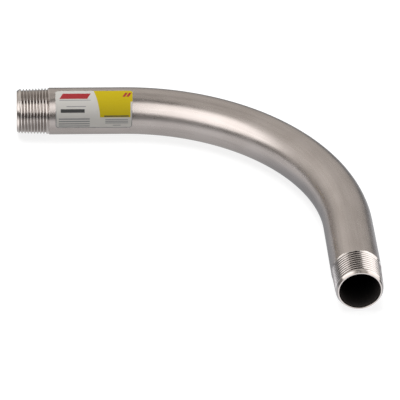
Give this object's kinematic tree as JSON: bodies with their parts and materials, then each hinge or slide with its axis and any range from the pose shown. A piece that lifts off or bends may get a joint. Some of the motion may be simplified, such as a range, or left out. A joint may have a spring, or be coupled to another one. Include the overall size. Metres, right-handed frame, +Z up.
{
  "type": "conduit elbow",
  "caption": "Right-angle rigid conduit elbow: one bent stainless tube with straight arms, tapered male pipe threads at its ends and a thin film label on one arm.",
  "frame": {"origin": "under the middle of the elbow's bounding box, on the surface that it lies on", "axes": "+Z up, square to the bend plane; arm a points to -X and arm b to -Y"},
  "size_m": [0.2388, 0.2388, 0.0335],
  "materials": {
    "stainless": "satin stainless with a fine drawn grain along the tube, brighter turned threads and mouths",
    "label_film": "silver-grey polyester film with a yellow field and plain printed bars"
  },
  "bodies": {
    "root": {"elbow": "stainless", "label": "label_film"}
  },
  "joints": []
}
